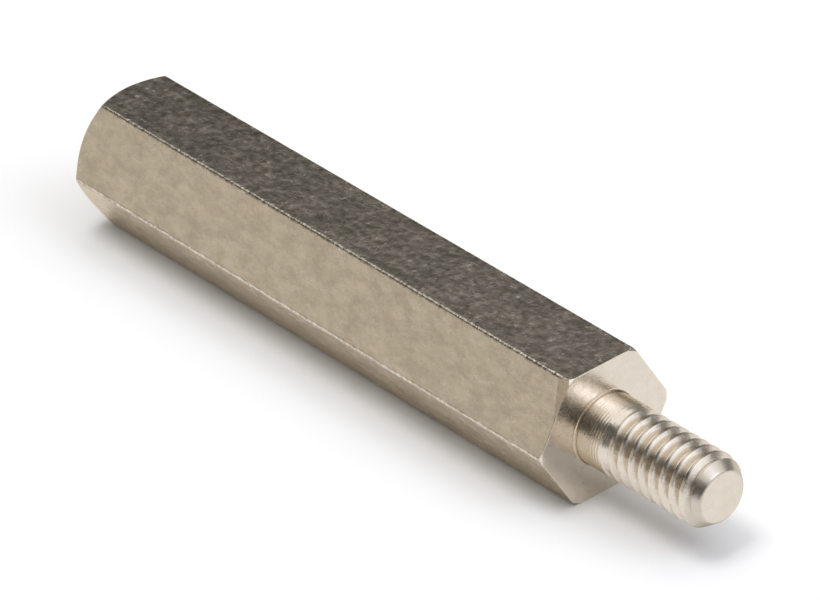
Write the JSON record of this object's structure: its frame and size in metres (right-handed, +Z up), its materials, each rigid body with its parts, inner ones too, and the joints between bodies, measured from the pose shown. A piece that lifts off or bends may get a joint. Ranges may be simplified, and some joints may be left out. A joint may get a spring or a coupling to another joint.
{
  "type": "hex standoff",
  "caption": "Male-female hex standoff turned in one piece: tapped hole in one end of the hexagon, threaded stud with a plain neck on the other.",
  "frame": {"origin": "on the surface the standoff lies on, under the middle of its overall length", "axes": "+X along the axis towards the stud's tip, +Z up, out of the upper flat"},
  "size_m": [0.0282, 0.0052, 0.0045],
  "materials": {
    "plated_brass": "satin nickel plate over brass, drawn flats and turned ends"
  },
  "bodies": {
    "root": {"hex_standoff": "plated_brass"}
  },
  "joints": []
}
